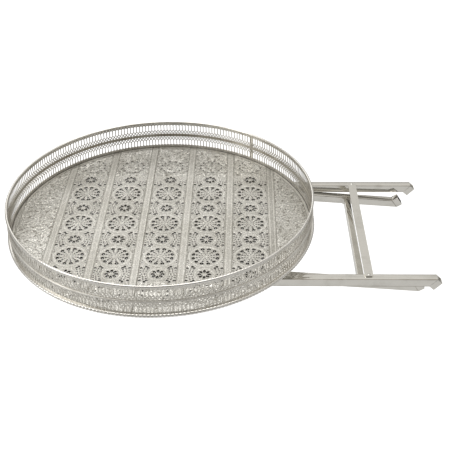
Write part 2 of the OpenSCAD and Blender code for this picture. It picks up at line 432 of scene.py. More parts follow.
@dataclass(frozen=True)
class ChasedFinish:
    """The floor's chasing: plain bands and rings on a ground of fine scrolls and dots."""

    name: str
    bright: Colour
    dull: Colour
    ground: Colour
    # near black: painted shade on the hole walls and along the floor's edge
    painted_shade: Colour
    layout: "FloorLayout"
    large_ring: Point = (27.8, 33.0)
    large_grooves: Point = (27.2, 33.6)
    small_ring: Point = (15.0, 19.2)
    small_grooves: Point = (14.6, 19.8)
    relief: float = 0.55

    def middle_part(self, x: Wire, y: Wire) -> Wire:
        """Mask the pierced columns.

        Args:
            x: The place across the columns.
            y: The place along them.

        Returns:
            One there, and zero over the segments that are chased only.
        """
        plan = self.layout
        across = abs(x - plan.column_middle)
        along = abs(y - plan.pierced_middle)
        return across.ease(plan.side_from - 1, plan.side_from, (1.0, 0.0)) * along.ease(
            plan.pierced_half - 2, plan.pierced_half + 2, (1.0, 0.0)
        )

    def bands(self, x: Wire, y: Wire, middle_part: Wire) -> tuple[Wire, Wire]:
        """Mask the plain bands, the margin and the rings round the rosettes.

        Args:
            x: The place across the columns.
            y: The place along them.
            middle_part: One over the pierced columns.

        Returns:
            The plain metal, and the grooves along it.
        """
        plan = self.layout
        u = x.folded(plan.column_pitch, plan.column_middle)
        v = y.folded(plan.row_pitch, plan.row_middle)
        w = y.folded(plan.row_pitch, plan.row_middle + plan.row_pitch / 2)
        across = abs(u)
        large = (u * u + v * v).root()
        small = (u * u + w * w).root()
        reach = (x * x + y * y).root()
        edge = plan.column_pitch / 2

        band = across.ease(edge - plan.band_half - 0.6, edge - plan.band_half + 0.2)
        margin = reach.ease(plan.plain_from - 0.6, plan.plain_from + 0.4)
        large_ring = large.inside(*self.large_ring, 0.5)
        small_ring = small.inside(*self.small_ring, 0.5) * (1 - large_ring)
        rings = large_ring.most(small_ring) * (middle_part * 0.6 + 0.4)
        plain = band.most(margin).most(rings * 0.3)

        grooves = across.line(edge - plan.band_half, 1.3)
        for inset, weight in ((1.9, 0.8), (4.4, 0.55), (6.3, 0.9)):
            grooves = grooves.most(across.line(edge - plan.band_half + inset, 0.8) * weight)
        for radius in self.large_grooves:
            grooves = grooves.most(large.line(radius, 1.1) * (1 - band) * 0.4)
        for radius in self.small_grooves:
            grooves = grooves.most(small.line(radius, 1.0) * (1 - band) * (1 - large_ring) * 0.4)
        return plain, grooves.most(reach.line(plan.plain_from, 1.0)).most(x.line(plan.joint, 1.1))

    @staticmethod
    def worked(bench: Bench, middle_part: Wire) -> Wire:
        """Draw the chasing: punched dots between the piercings, engraved scrolls beside them.

        Args:
            bench: The material's bench.
            middle_part: One over the pierced columns.

        Returns:
            One where metal stands, and zero where it is driven down.
        """
        swirl = bench.noise(13.0, 1.5)
        vine = abs((swirl * 9.0).fract() - 0.5).ease(0.12, 0.34)
        leaf = bench.cells(5.2, "SMOOTH_F1").ease(0.12, 0.5, (1.0, 0.0))
        scroll = bench.cells(3.0, "DISTANCE_TO_EDGE").ease(0.02, 0.14)
        beads = bench.cells(2.1, "F1", 0.7).ease(0.2, 0.45, (1.0, 0.0))
        punched = scroll * 0.4 + beads * 0.6
        engraved = vine * 0.6 + leaf * 0.2 + beads * 0.2
        return punched * middle_part + engraved * (1 - middle_part)

    def made(self) -> bpy.types.Material:
        """Lay the nodes.

        Returns:
            The material.
        """
        plan = self.layout
        bench = Bench(self.name)
        x, y, z = bench.axes()
        reach = (x * x + y * y).root()
        middle_part = self.middle_part(x, y)
        plain, grooves = self.bands(x, y, middle_part)
        worked = self.worked(bench, middle_part)
        wear = bench.noise(90.0, 3.0).ease(0.3, 0.7)
        fine = bench.noise(1.3, 3.0)
        # painted glints: bright spots that lighten the plate's colour
        sparkle = bench.cells(3.4, "F1", 1.0).ease(0.16, 0.34, (1.0, 0.0))
        pits = bench.cells(2.7, "F1", 1.0).ease(0.12, 0.3, (1.0, 0.0)) * (1 - plain)
        hairs = bench.noise(0.7, 2.0, (1.0, 45.0, 1.0)).ease(0.58, 0.72) * plain

        # sunk marks the dished walls of the holes, which take painted shade below
        sunk = (z < -0.06) * (z > 0.04 - plan.thickness)
        # painted shade: a dark band along the floor's edge, at the foot of the wall
        gap = reach.ease(plan.radius - 1.8, plan.radius - 1.0)
        open_work = 1 - plain
        height = plain * 0.75 + open_work * (0.1 + worked * 0.8) - grooves * 0.7 + fine * 0.12
        height = height * (1 - sunk) + sunk * 0.4
        height = height + (1 - middle_part) * open_work * pits * 0.6
        # tarnish in the chased hollows and grooves, plus painted glints and, on the side segments,
        # painted shadow patches
        tarnish_and_painted_light = open_work * (1 - worked) * (0.8 + wear * 0.2) + grooves * 0.75
        tarnish_and_painted_light = tarnish_and_painted_light * 0.8 + fine.ease(0.5, 0.8) * 0.3 + pits * 0.7 - sparkle * 0.8
        sides = 1 - middle_part
        blotch = bench.cells(6.5, "F1", 1.0).ease(0.14, 0.34, (1.0, 0.0))
        shadow = bench.noise(8.0, 3.0).ease(0.5, 0.68)
        tarnish_and_painted_light = tarnish_and_painted_light + sides * open_work * (shadow * 0.55 - blotch * 0.7)
        ladder = abs(y.folded(4.2, 0.0)).ease(0.4, 0.9, (1.0, 0.0))
        ladder = ladder * x.inside(plan.ladder_from, plan.ladder_to, 0.3)
        rubbed = plain * (0.06 + fine.ease(0.42, 0.62) * 0.34 + wear * 0.12)
        tarnish_and_painted_light = (tarnish_and_painted_light + rubbed + ladder * 0.6).most(0.0).least(1.0)
        polish = bench.blend(
            (wear * 0.35 + fine.ease(0.35, 0.7) * 0.4 + plain * 0.15).least(1.0),
            self.bright,
            self.dull,
        )
        face = bench.blend(tarnish_and_painted_light * 0.85, polish, self.ground)
        # painted shade: the hole walls, and the edge band at 0.92, go to the near-black shade
        # colour
        colour = bench.blend(sunk.most(gap * 0.92), face, self.painted_shade)
        roughness = 0.2 + plain * 0.2 + tarnish_and_painted_light * 0.26 + wear * 0.06 + hairs * 0.1 + sunk * 0.3
        return bench.metal(colour, roughness, height, self.relief)


@dataclass(frozen=True)
class PiercedFinish:
    """The gallery sheet: bright faces, dark sawn edges, a chased line on each bar, painted shade
    and glints.
    """

    name: str
    bright: Colour
    dull: Colour
    cell_turn: float = FULL_TURN / CELLS
    face_in: float = WALL_IN
    face_out: float = WALL_OUT
    rail_z: float = 30.5

    def made(self) -> bpy.types.Material:
        """Lay the nodes.

        Returns:
            The material.
        """
        bench = Bench(self.name)
        x, y, z = bench.axes()
        reach = (x * x + y * y).root()
        cut = reach.inside(self.face_in + 0.12, self.face_out - 0.12, 0.06)
        # painted shade: the inner face is a little darker
        inner = reach.ease(self.face_in + 0.1, self.face_in + 0.3, (1.0, 0.0))
        along = (y.bearing(x) / self.cell_turn).fract()
        ridge = abs(along - 0.5).ease(0.3, 0.5)
        patches = bench.noise(45.0, 3.0).ease(0.35, 0.7)
        fine = bench.noise(1.0, 3.0)
        # painted shade: darker towards the floor and beside the rail, where the parts meet
        low = z.ease(0.0, 9.0, (0.35, 0.0)) + abs(z - self.rail_z).ease(2.0, 6.0, (0.25, 0.0))
        speckle = bench.cells(2.1, "F1", 1.0).ease(0.15, 0.4, (1.0, 0.0))
        # painted glints: bright spots that lighten the sheet's colour
        glint = bench.cells(3.7, "F1", 1.0).ease(0.15, 0.35, (1.0, 0.0))
        # sawn edges and tarnish, plus painted shade (inner, low) and painted glints
        tarnish_and_painted_light = cut * 0.6 + inner * 0.1 + patches * 0.2 + low * 0.3 + speckle * 0.85
        tarnish_and_painted_light = (tarnish_and_painted_light + fine.ease(0.4, 0.7) * 0.4 - glint * 0.8).most(0.0).least(1.0)
        colour = bench.blend(tarnish_and_painted_light, self.bright, self.dull)
        roughness = 0.24 + tarnish_and_painted_light * 0.2 + fine * 0.05 + z.ease(1.0, 7.0, (0.4, 0.0)) * inner
        height = ridge * 0.6 + fine * 0.15 + patches * 0.1
        return bench.metal(colour, roughness, height, 0.25)


@dataclass(frozen=True)
class TubeFinish:
    """Bright plated tube: draw lines, soft swirls of polish, and brown painted reflections along a
    leg's edges.

    ``leg_y`` is how far a leg's middle is from the tray's middle, or 0 for a tube with no painted
    reflections on its edges, and ``slope`` how fast the leg drops from ``middle``, a point of its
    axis given as (x, z). ``half`` is half of the tube's width.
    """

    name: str
    bright: Colour
    dull: Colour
    reflection_and_pit_brown: Colour
    roughness: float
    leg_y: float = 0.0
    slope: float = 0.0
    middle: Point = PIVOT
    half: float = 8.0

    def edges(self, bench: Bench) -> Wire:
        """One along the four long edges of a leg, where dark reflections are painted, and zero on
        its faces.

        Args:
            bench: The material's bench.

        Returns:
            The mask.
        """
        x, y, z = bench.axes()
        rise = abs(z - self.middle[1] + (x - self.middle[0]) * self.slope)
        across = abs(abs(y) - self.leg_y)
        near = across.ease(self.half - 1.3, self.half - 0.7)
        near = near * across.ease(self.half + 0.1, self.half + 0.3, (1.0, 0.0))
        return rise.ease(self.half - 1.3, self.half - 0.7) * near

    def made(self) -> bpy.types.Material:
        """Lay the nodes.

        Returns:
            The material.
        """
        bench = Bench(self.name)
        draw = bench.noise(0.5, 2.0, (120.0, 1.0, 1.0))
        waves = bench.noise(38.0, 1.0, (2.6, 1.0, 1.0))
        fine = bench.noise(0.8, 3.0)
        smears = bench.noise(24.0, 4.0).ease(0.45, 0.75)
        pits = bench.cells(5.0).ease(0.04, 0.1, (1.0, 0.0)) * smears
        # painted reflections: a leg's long edges are browned as the dark room they reflect; a plain
        # tube browns only its pits
        edge = self.edges(bench) * (0.55 + smears * 0.45) if self.leg_y else pits * 0.3
        polish = bench.blend(
            (smears * 0.35 + pits * 0.6 + draw.ease(0.5, 0.8) * 0.15).least(1.0),
            self.bright,
            self.dull,
        )
        colour = bench.blend(edge, polish, self.reflection_and_pit_brown)
        roughness = self.roughness + smears * 0.07 + draw.ease(0.45, 0.8) * 0.06 + pits * 0.2
        roughness = roughness + edge * 0.25
        height = draw * 0.04 + waves * 0.8 + fine * 0.02
        return bench.metal(colour, roughness, height, 0.22)


@dataclass(frozen=True)
class IronFinish:
    """Dull plated strip and fasteners under the tray, with brown in the corners."""

    name: str
    bright: Colour
    dull: Colour
    rust: Colour
    roughness: float

    def made(self) -> bpy.types.Material:
        """Lay the nodes.

        Returns:
            The material.
        """
        bench = Bench(self.name)
        patches = bench.noise(22.0, 5.0).ease(0.35, 0.7)
        fine = bench.noise(0.9, 4.0)
        stains = bench.noise(11.0, 5.0).ease(0.6, 0.78)
        lines = bench.noise(0.5, 2.0, (1.0, 50.0, 1.0))
        metal = bench.blend(patches * 0.8, self.bright, self.dull)
        colour = bench.blend(stains * 0.6, metal, self.rust)
        roughness = self.roughness + patches * 0.1 + stains * 0.2 + lines * 0.06
        return bench.metal(colour, roughness, fine * 0.5 + lines * 0.5 + stains * 0.3, 0.05)


# ---------------------------------------------------------------- mesh help


class Body(Enum):
    """The rigid bodies that pieces ride on."""

    TRAY = "tray"
    INNER = "inner_frame"
    OUTER = "outer_frame"


class Slot(Enum):
    """The record's material slots, one named for each new piece."""

    SHEET = "pierced_sheet"
    TRIM = "polished_trim"
    TUBE = "plated_tube"
    IRON = "under_iron"


class Workshop:
    """Turns finished bmeshes into pieces, and dresses the frame's own nodes."""

    mouth = 5.4  # edges this near a bore's axis are its mouth
    square = math.radians(30)  # edges bent more than this are rounded

    def __init__(self, frame: dict[str, Any]) -> None:
        """Keep the frame.
        """
        self.frame = frame

    def piece(
        self,
        bm: bmesh.types.BMesh,
        name: str,
        body: Body,
        slot: Slot,
        material: bpy.types.Material,
        stands_for: Sequence[str] = (),
        smooth_under: float = 35.0,
    ) -> bpy.types.Object:
        """Make a piece that rides on a body.

        Args:
            bm: Its mesh in millimetres, which is freed.
            name: The piece's name.
            body: The body that it rides on.
            slot: The record's slot for its finish. Not used.
            material: Its material.
            stands_for: The frame's nodes that it replaces.
            smooth_under: Edges bent less than this many degrees are shaded smooth.

        Returns:
            The object.
        """
        bmesh.ops.scale(bm, vec=(MM, MM, MM), verts=bm.verts[:])
        limit = math.radians(smooth_under)
        for face in bm.faces:
            face.smooth = True
        for edge in bm.edges:
            edge.smooth = len(edge.link_faces) == 2 and edge.calc_face_angle() < limit
        mesh = bpy.data.meshes.new(name)
        bm.to_mesh(mesh)
        bm.free()
        obj = bpy.data.objects.new(name, mesh)
        bpy.context.scene.collection.objects.link(obj)
        mesh.materials.append(material)
        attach(obj, body.value)
        if stands_for:
            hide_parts(*stands_for)
        LOG.info("%s: %d faces", name, len(mesh.polygons))
        return obj

    def dress(self, nodes: Iterable[str], material: bpy.types.Material) -> None:
        """Give nodes of the frame a material.

        Args:
            nodes: Their names.
            material: The material.
        """
        for name in nodes:
            data = self.frame["nodes"][name].data
            data.materials.clear()
            data.materials.append(material)
            LOG.info("%s: dressed", name)

    def softened(
        self, node: str, width: float, least_edge: float, round_holes: Sequence[Point] = ()
    ) -> bmesh.types.BMesh:
        """Copy a node's solid and round its convex edges.

        Args:
            node: The node's name.
            width: The bevel's width.
            least_edge: Edges shorter than this stay sharp.
            round_holes: The (x, z) of bores along Y whose mouths stay sharp.

        Returns:
            The new mesh in millimetres.
        """
        bm = bmesh.new()
        bm.from_mesh(self.frame["nodes"][node].data)
        bmesh.ops.scale(bm, vec=(1 / MM, 1 / MM, 1 / MM), verts=bm.verts[:])
        bmesh.ops.remove_doubles(bm, verts=bm.verts[:], dist=0.004)
        bmesh.ops.dissolve_limit(
            bm, angle_limit=math.radians(0.6), verts=bm.verts[:], edges=bm.edges[:]
        )
        chosen = []
        for edge in bm.edges:
            if len(edge.link_faces) != 2 or not edge.is_convex:
                continue
            if edge.calc_face_angle() < self.square or edge.calc_length() < least_edge:
                continue
            middle = (edge.verts[0].co + edge.verts[1].co) / 2
            if any(math.hypot(middle.x - x, middle.z - z) < self.mouth for x, z in round_holes):
                continue
            chosen.append(edge)
        bmesh.ops.bevel(
            bm,
            geom=chosen,
            offset=width,
            offset_type="OFFSET",
            segments=3,
            profile=0.5,
            affect="EDGES",
            clamp_overlap=True,
            material=-1,
        )
        return bm


def lathed(points: Sequence[Point], steps: int, closed: bool = True) -> bmesh.types.BMesh:
    """Spin a profile once round the tray's axis.

    Args:
        points: The profile as (radius, z).
        steps: How many steps there are round.
        closed: Whether the last point joins the first.

    Returns:
        The ring, with its normals outwards.
    """
    bm = bmesh.new()
    verts = [bm.verts.new((r, 0.0, z)) for r, z in points]
    pairs = list(zip(verts, verts[1:])) + ([(verts[-1], verts[0])] if closed else [])
    edges = [bm.edges.new(pair) for pair in pairs]
    bmesh.ops.spin(
        bm,
        geom=verts + edges,
        cent=(0, 0, 0),
        axis=(0, 0, 1),
        angle=FULL_TURN,
        steps=steps,
        use_merge=True,
    )
    bmesh.ops.recalc_face_normals(bm, faces=bm.faces[:])
    return bm


def loop(bm: bmesh.types.BMesh, points: Sequence[Point]) -> list[bmesh.types.BMEdge]:
    """A closed outline of a few vertices on the XY plane.

    Args:
        bm: The mesh that it is added to.
        points: Its corners.

    Returns:
        Its edges.
    """
    verts = [bm.verts.new((x, y, 0.0)) for x, y in points]
    return [bm.edges.new((a, b)) for a, b in zip(verts, verts[1:] + verts[:1])]


def arc(middle: Point, radius: float, start: float, end: float, steps: int) -> list[Point]:
    """Points along an arc, angles in degrees, both ends included."""
    turns = [math.radians(start + (end - start) * i / steps) for i in range(steps + 1)]
    return [(middle[0] + radius * math.cos(t), middle[1] + radius * math.sin(t)) for t in turns]


# ---------------------------------------------------------------- tray floor


@dataclass(frozen=True)
class Hole:
    """A pierced hole: an oval, drawn in to a point at its head by ``taper``."""

    x: float
    y: float
    half_w: float
    half_l: float
    turn: float = 0.0
    taper: float = 0.0
    sides: int = 8

    def reach(self) -> float:
        """How far its outline can lie from the tray's axis."""
        return math.hypot(self.x, self.y) + max(self.half_w, self.half_l)

    def place(self) -> Matrix:
        """Where the hole's own axes lie on the sheet."""
        return Matrix.Translation((self.x, self.y, 0.0)) @ Matrix.Rotation(self.turn, 4, "Z")

    def width(self, up: float) -> float:
        """Half of the width at a height, which runs from -1 at the foot to 1 at the head."""
        return self.half_w * (1.0 - self.taper * (0.5 + 0.5 * up))

    def drawn(self, up: float, left: float) -> Vector:
        """A point of the outline, from a point of the unit circle.

        Args:
            up: The unit circle's y, from foot to head.
            left: The unit circle's x.

        Returns:
            The point on the sheet.
        """
        return self.place() @ Vector((left * self.width(up), up * self.half_l, 0.0))

    def outline(self, steps: int = 16) -> list[Vector]:
        """Points round the outline."""
        turns = [FULL_TURN * k / steps for k in range(steps)]
        return [self.drawn(math.cos(turn), math.sin(turn)) for turn in turns]

    def holds(self, point: Vector, gap: float) -> bool:
        """Tell whether a point lies in the hole or within a gap of it.

        Args:
            point: The point on the sheet.
            gap: The gap.

        Returns:
            True if it does.
        """
        local = self.place().inverted() @ point
        up = max(-1.0, min(1.0, local.y / self.half_l))
        return math.hypot(local.x / (self.width(up) + gap), local.y / (self.half_l + gap)) < 1.0

    def meets(self, other: "Hole", gap: float) -> bool:
        """Tell whether two holes leave less than a gap of metal between them.

        Args:
            other: The other hole.
            gap: The least metal.

        Returns:
            True if they do.
        """
        size = max(self.half_w, self.half_l) + max(other.half_w, other.half_l)
        if math.hypot(self.x - other.x, self.y - other.y) > size * 1.1 + gap:
            return False
        return any(other.holds(point, gap) for point in self.outline()) or any(
            self.holds(point, gap) for point in other.outline()
        )

    def cut(self, bm: bmesh.types.BMesh) -> list[bmesh.types.BMEdge]:
        """Add the outline to a mesh.

        Args:
            bm: The mesh.

        Returns:
            The outline's edges.
        """
        made = bmesh.ops.create_circle(bm, cap_ends=False, segments=self.sides, radius=1.0)
        for vert in made["verts"]:
            vert.co = self.drawn(vert.co.y, vert.co.x)
        return list(dict.fromkeys(edge for vert in made["verts"] for edge in vert.link_edges))


@dataclass(frozen=True)
class Ring:
    """Like holes in a ring, heads outwards: where their middles lie, how many, and their shape.

    ``start`` is the first hole's bearing in degrees.
    """

    radius: float
    count: int
    half_w: float
    half_l: float
    start: float
    taper: float = 0.0

    def holes(self, x: float, y: float) -> list[Hole]:
        """Lay the ring round a middle.

        Args:
            x: The middle's x.
            y: The middle's y.

        Returns:
            The holes.
        """
        turns = [math.radians(self.start + 360 * i / self.count) for i in range(self.count)]
        return [
            Hole(
                x + self.radius * math.cos(turn),
                y + self.radius * math.sin(turn),
                self.half_w,
                self.half_l,
                turn - math.pi / 2,
                self.taper,
            )
            for turn in turns
        ]


@dataclass(frozen=True)
class FloorLayout:
    """Where the floor's columns, rows, bands and rosettes lie, and the holes that they are made of.

    Large rosettes have twelve arched petals round rings of small piercings, small ones eight drops
    round a solid hub, and the ends of the columns finer ones. ``joint`` is where a groove crosses
    the floor, ``web`` the least metal between two holes, and ``dish`` the share of its size that a
    hole keeps at the underside. A bud is (out, down, half width, half length, turn), and its turn
    is mirrored with its fan unless it is a quarter.
    """

    radius: float = WALL_IN
    thickness: float = 1.2
    column_pitch: float = 85.4
    column_middle: float = 5.8
    row_pitch: float = 110.5
    row_middle: float = -14.5
    band_half: float = 7.4
    plain_from: float = 290.0
    side_from: float = 213.5
    joint: float = -31.0
    ladder_from: float = 215.5
    ladder_to: float = 222.5
    pierced_middle: float = -20.0
    pierced_half: float = 186.0
    stem: float = 25.4
    fan_foot: float = 16.0
    dish: float = 0.16
    web: float = 0.3
    large_rosette: tuple[Ring, ...] = (
        Ring(23.2, 12, 3.9, 3.5, 15.0, -0.2),
        Ring(16.6, 12, 1.5, 2.3, 15.0, -0.5),
        Ring(11.6, 12, 1.2, 1.7, 15.0, 0.3),
        Ring(6.4, 6, 1.0, 1.2, 30.0),
    )
    end_rosette: tuple[Ring, ...] = (
        Ring(23.2, 12, 2.7, 1.6, 15.0),
        Ring(12.0, 6, 1.5, 0.9, 30.0),
    )
    small_rosette: tuple[Ring, ...] = (Ring(8.8, 8, 2.1, 4.5, 90.0, -0.8),)
    fan_petals: tuple[Point, ...] = ((-69, 2.9), (-23, 3.3), (23, 3.3), (69, 2.9))
    buds: tuple[tuple[float, ...], ...] = (
        (0.0, 0.0, 1.3, 1.9, 0.0),
        (-5.2, 2.9, 1.3, 2.2, 0.8),
        (1.4, 4.2, 1.2, 1.8, 0.0),
        (6.6, 6.0, 1.2, 2.4, math.pi / 2),
        (-3.6, 8.6, 1.1, 2.0, 0.4),
        (1.8, 9.0, 1.0, 1.8, -0.5),
        (7.0, 11.6, 1.0, 2.0, math.pi / 2),
    )

    def columns(self) -> list[float]:
        """The middles of the five pierced columns."""
        return [self.column_middle + self.column_pitch * k for k in range(-2, 3)]

    def rows(self) -> list[float]:
        """The middles of the rows of large rosettes."""
        return [self.row_middle + self.row_pitch * k for k in range(-1, 2)]

    def seams(self) -> tuple[list[float], list[float]]:
        """Find where the sheet is cut into patches: along the bands, and through the rosettes.

        Returns:
            The cuts' x, and their y.
        """
        half = self.column_pitch / 2
        across = [self.columns()[0] - half] + [x + half for x in self.columns()]
        along = [self.row_middle + self.row_pitch * k for k in range(-2, 3)]
        return across, along

    @staticmethod
    def rosette(rings: Iterable[Ring], x: float, y: float) -> list[Hole]:
        """The holes of a rosette's rings, outermost first."""
        return [hole for ring in rings for hole in ring.holes(x, y)]

    def fan(self, x: float, y: float, side: int, up: int) -> list[Hole]:
        """A fan of petals with the buds on its stem, at one end of a spray.

        Args:
            x: The spray's stem.
            y: The small rosette's middle.
            side: -1 or 1, the side of the column.
            up: -1 or 1, the end of the spray.

        Returns:
            The holes.
        """
        base = y + up * self.fan_foot
        made = []
        for lean, length in self.fan_petals:
            turn = math.radians(90 * up - side * up * lean)
            made.append(
                Hole(
                    x + math.cos(turn) * 6.8,
                    base + math.sin(turn) * 7.2,
                    2.15,
                    length,
                    turn - math.pi / 2,
                    -0.5,
                )
            )
        for out, down, half_w, half_l, lean in self.buds:
            turn = lean if lean > 1.0 else side * up * lean
            made.append(Hole(x + side * out, base - up * down, half_w, half_l, turn, 0.0, 6))
        for out, gap in ((6.9, 19.5), (6.6, 13.5)):
            made.append(
                Hole(x + side * out, y + up * (self.row_pitch / 2 - gap), 1.2, 1.4, 0.0, 0.0, 6)
            )
        return made

    def spray(self, x: float, y: float, side: int) -> list[Hole]:
        """The two fans and the middle buds beside a small rosette.

        Args:
            x: The column's middle.
            y: The small rosette's middle.
            side: -1 or 1, the side of the column.

        Returns:
            The holes.
        """
        stem = x + side * self.stem
        made = self.fan(stem, y, side, -1) + self.fan(stem, y, side, 1)
        made.append(Hole(stem - side * 1.6, y, 1.3, 2.4, 0.0, 0.0, 6))
        made.append(Hole(stem + side * 4.0, y, 1.0, 1.6, 0.0, 0.0, 6))
        return made

    def holes(self) -> list[Hole]:
        """Lay out the whole floor, the rosettes first in each row.

        Returns:
            Every hole that lies whole inside the plain margin and clear of the others.
        """
        made: list[Hole] = []
        for x in self.columns():
            for y in self.rows():
                made += self.rosette(self.large_rosette, x, y)
                middle = y - self.row_pitch / 2
                made += self.rosette(self.small_rosette, x, middle)
                for side in (-1, 1):
                    made += self.spray(x, middle, side)
            for end in (self.rows()[0] - self.row_pitch, self.rows()[-1] + self.row_pitch):
                made += self.rosette(self.end_rosette, x, end)
            last = self.rows()[-1] + self.row_pitch / 2
            made += self.rosette(self.small_rosette, x, last)
            for side in (-1, 1):
                made += self.fan(x + side * self.stem, last, side, -1)
                made.append(Hole(x + side * 21.0, last + 51.0, 1.2, 4.2, side * 1.1, 0.2))
        return self.spaced([hole for hole in made if hole.reach() < self.plain_from - 2.5])

    def spaced(self, holes: list[Hole]) -> list[Hole]:
        """Leave out each hole that would run into an earlier one or over a patch's edge.

        Args:
            holes: The holes, the ones that matter most first.

        Returns:
            The holes that are cut.
        """
        across, along = self.seams()
        kept: list[Hole] = []

        def crossed(spots: list[float], seams: list[float]) -> bool:
            """Whether the spots lie on both sides of a seam, or within the web of it."""
            low, high = min(spots) - self.web, max(spots) + self.web
            return any(low < at < high for at in seams)

        for hole in holes:
            outline = hole.outline()
            split = crossed([point.x for point in outline], across)
            split = split or crossed([point.y for point in outline], along)
            if not split and not any(hole.meets(other, self.web) for other in kept):
                kept.append(hole)
        LOG.info("%d holes laid out, %d cut", len(holes), len(kept))
        return kept


@dataclass
class TrayFloor:
    """The pierced and chased disc."""

    shop: Workshop
    material: bpy.types.Material
    layout: FloorLayout = field(default_factory=FloorLayout)

    def build(self) -> bpy.types.Object:
        """Cut the disc into patches, pierce each, and dish the holes down through the sheet.

        Returns:
            The piece.
        """
        plan = self.layout
        bm = bmesh.new()
        bmesh.ops.create_circle(bm, cap_ends=True, segments=288, radius=plan.radius)
        across, along = plan.seams()
        planes = [((x, 0, 0), (1, 0, 0)) for x in across]
        planes += [((0, y, 0), (0, 1, 0)) for y in along]
        for place, normal in planes:
            bmesh.ops.bisect_plane(
                bm,
                geom=bm.verts[:] + bm.edges[:] + bm.faces[:],
                plane_co=place,
                plane_no=normal,
                dist=0.001,
            )
        holes = plan.holes()
        patches = [(face, face.edges[:], self.bounds(face)) for face in bm.faces]
        bmesh.ops.delete(bm, geom=[face for face, _, _ in patches], context="FACES_ONLY")
        owner = bm.verts.layers.int.new("hole")
        for _, rim, (low, high) in patches:
            edges = list(rim)
            for number, hole in enumerate(holes, 1):
                if low.x < hole.x < high.x and low.y < hole.y < high.y:
                    outline = hole.cut(bm)
                    edges += outline
                    for edge in outline:
                        for vert in edge.verts:
                            vert[owner] = number
            bmesh.ops.triangle_fill(bm, use_beauty=True, edges=edges, normal=(0.0, 0.0, 1.0))
        made = bmesh.ops.extrude_face_region(bm, geom=bm.faces[:])
        lower = [item for item in made["geom"] if isinstance(item, bmesh.types.BMVert)]
        bmesh.ops.translate(bm, vec=(0, 0, -plan.thickness), verts=lower)
        for vert in lower:
            if vert[owner]:
                hole = holes[vert[owner] - 1]
                vert.co.x = hole.x + (vert.co.x - hole.x) * plan.dish
                vert.co.y = hole.y + (vert.co.y - hole.y) * plan.dish
        bmesh.ops.recalc_face_normals(bm, faces=bm.faces[:])
        return self.shop.piece(
            bm, "pierced_floor", Body.TRAY, Slot.SHEET, self.material, ["tray_floor"]
        )

    @staticmethod
    def bounds(face: bmesh.types.BMFace) -> tuple[Vector, Vector]:
        """Box a face in.

        Args:
            face: The face.

        Returns:
            The box's lowest and highest corners.
        """
        spots = [vert.co for vert in face.verts]
        low = Vector((min(p.x for p in spots), min(p.y for p in spots), 0))
        high = Vector((max(p.x for p in spots), max(p.y for p in spots), 0))
        return low, high


# ---------------------------------------------------------------- gallery


class Tier(Enum):
    """The two tiers of the gallery: where each meets the rail, and which way it runs."""

    LOWER = ("lower_gallery", "gallery_lower_band", 28.35, -1, 29.55, 26.2)
    UPPER = ("upper_gallery", "gallery_upper_band", 32.75, 1, 29.65, 27.0)

    def __init__(
        self, piece: str, node: str, rail_z: float, up: int, height: float, shown: float
    ) -> None:
        """Name the values.

        Args:
            piece: The piece's name.
            node: The frame's node that it stands for.
            rail_z: The edge at the rail.
            up: 1 if the tier rises from the rail, or -1.
            height: The sheet's whole height.
            shown: How much of it the rim or foot ring leaves in sight.
        """
        self.piece = piece
        self.node = node
        self.rail_z = rail_z
        self.up = up
        self.height = height
        self.shown = shown


@dataclass
class Gallery:
    """A tier of slots under a lattice, one cell repeated round the tray."""

    shop: Workshop
    material: bpy.types.Material
    tier: Tier
    radius_in: float = WALL_IN
    radius_out: float = WALL_OUT
    cells: int = CELLS
    slot_half: float = 2.6
    diamond_half: float = 2.5

    def outline(self, half: float) -> list[Point]:
        """The cell's own outline, notched where it shares a diamond or a dot.

        Args:
            half: Half of the cell's width.

        Returns:
            The corners, from the rail.
        """
        dot = self.tier.shown - 1.9
        side = [
            (half, 0.0),
            (half, 3.3),
            (half - self.diamond_half, 6.2),
            (half, 9.1),
            (half, dot - 0.9),
            (half - 0.8, dot - 0.45),
            (half - 0.8, dot + 0.45),
            (half, dot + 0.9),
            (half, self.tier.height),
        ]
        return side + [(-x, d) for x, d in reversed(side)]

    def build(self) -> bpy.types.Object:
        """Pierce one cell, repeat it round the tray and give the sheet thickness.

        Returns:
            The piece.
        """
        turn = FULL_TURN / self.cells
        half = self.radius_in * turn / 2
        top = self.tier.shown - 3.9
        slot = [
            (0.0, 7.6),
            (self.slot_half, 10.6),
            (self.slot_half, top - 1.6),
            (self.slot_half * 0.5, top),
            (-self.slot_half * 0.5, top),
            (-self.slot_half, top - 1.6),
            (-self.slot_half, 10.6),
        ]
        bud = [(2.5, 1.1), (0.0, 5.3), (-2.5, 1.1)]
        bm = bmesh.new()
        edges = loop(bm, self.outline(half)) + loop(bm, slot) + loop(bm, bud)
        bmesh.ops.triangle_fill(bm, use_beauty=True, edges=edges, normal=(0.0, 0.0, 1.0))
        bmesh.ops.join_triangles(
            bm,
            faces=bm.faces[:],
            angle_face_threshold=math.pi,
            angle_shape_threshold=math.radians(70),
        )
        for vert in bm.verts:
            bearing = vert.co.x / self.radius_in
            height = self.tier.rail_z + self.tier.up * vert.co.y
            vert.co = (
                self.radius_in * math.cos(bearing),
                self.radius_in * math.sin(bearing),
                height,
            )
        bmesh.ops.spin(
            bm,
            geom=bm.verts[:] + bm.edges[:] + bm.faces[:],
            cent=(0, 0, 0),
            axis=(0, 0, 1),
            angle=FULL_TURN * (self.cells - 1) / self.cells,
            steps=self.cells - 1,
            use_duplicate=True,
        )
        bmesh.ops.remove_doubles(bm, verts=bm.verts[:], dist=0.02)
        made = bmesh.ops.extrude_face_region(bm, geom=bm.faces[:])
        outer = [item for item in made["geom"] if isinstance(item, bmesh.types.BMVert)]
        grow = self.radius_out / self.radius_in
        bmesh.ops.scale(bm, vec=(grow, grow, 1.0), verts=outer)
        bmesh.ops.recalc_face_normals(bm, faces=bm.faces[:])
        return self.shop.piece(
            bm, self.tier.piece, Body.TRAY, Slot.SHEET, self.material, [self.tier.node]
        )


